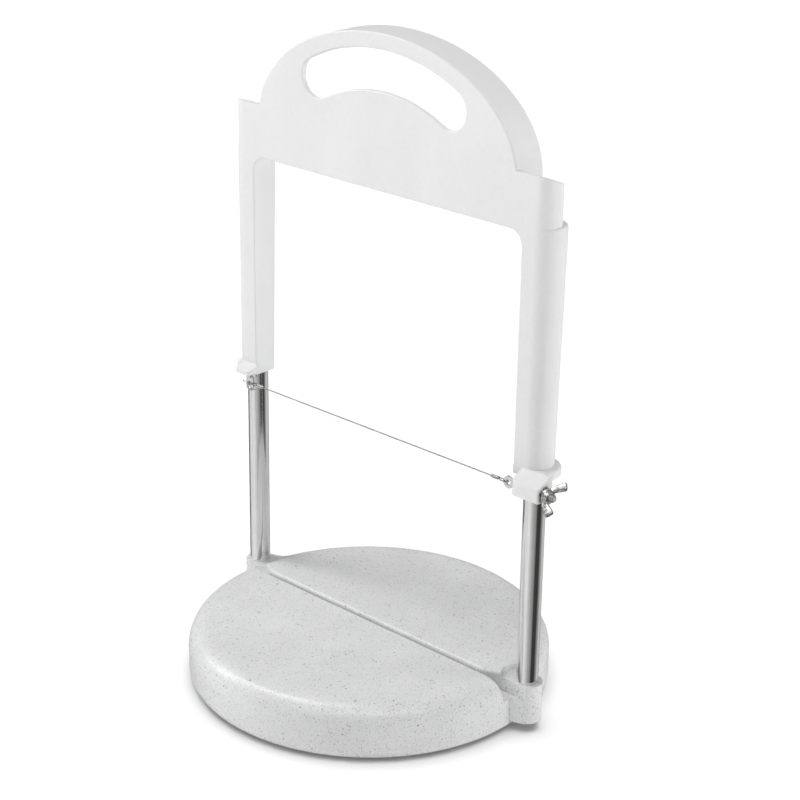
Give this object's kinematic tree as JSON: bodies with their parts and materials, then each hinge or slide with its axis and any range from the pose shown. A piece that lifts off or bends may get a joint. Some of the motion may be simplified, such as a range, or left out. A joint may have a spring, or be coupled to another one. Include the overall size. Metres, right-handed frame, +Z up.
{
  "type": "cheese wire cutter",
  "caption": "Bench cheese cutter: a slotted round base with two guide rods and a sliding arched yoke that carries a taut wire, set by a wing nut.",
  "frame": {"origin": "middle of the base, on the table, at the underside of the centre foot", "axes": "+X along the wire towards the wing nut, +Y from the wire towards the guide rods, +Z up along the rods"},
  "size_m": [0.2953, 0.242, 0.4319],
  "materials": {
    "base_plastic": "matt, finely speckled",
    "yoke_plastic": "satin moulded",
    "rod_steel": "ground and polished along its length",
    "wire_steel": "drawn stainless wire",
    "fitting_steel": "bright",
    "fastener_steel": "bright zinc",
    "wing_nut_metal": "dull cast",
    "foot_rubber": "matt"
  },
  "bodies": {
    "base": {"base": "base_plastic", "foot_centre": "foot_rubber", "foot_front_left": "foot_rubber", "foot_front_right": "foot_rubber", "foot_rear_left": "foot_rubber", "foot_rear_right": "foot_rubber", "rod_left": "rod_steel", "rod_right": "rod_steel", "rod_screw_left": "fastener_steel", "rod_screw_right": "fastener_steel", "rod_washer_left": "fastener_steel", "rod_washer_right": "fastener_steel"},
    "yoke": {"yoke": "yoke_plastic", "cutting_wire": "wire_steel", "wire_crimp_left": "wire_steel", "wire_crimp_right": "wire_steel", "wire_anchor": "fitting_steel", "tension_washer": "fastener_steel"},
    "eye_bolt": {"eye_bolt": "fitting_steel"},
    "wing_nut": {"wing_nut": "wing_nut_metal"}
  },
  "joints": [
    {"name": "yoke_slide", "type": "slide", "parent": "base", "child": "yoke", "axis": [0, 0, 1], "range_m": [-0.145, 0.025]},
    {"name": "wing_nut_turn", "type": "hinge", "parent": "yoke", "child": "wing_nut", "pos_m": [0.145, 0, 0.1755], "axis": [1, 0, 0], "range_deg": [0, 720]},
    {"name": "eye_bolt_slide", "type": "slide", "parent": "yoke", "child": "eye_bolt", "axis": [1, 0, 0], "range_m": [-0.00161, 0]}
  ],
  "couplings": [
    {"joint": "eye_bolt_slide", "follows": "wing_nut_turn", "m_per_rad": -0.00012732}
  ]
}
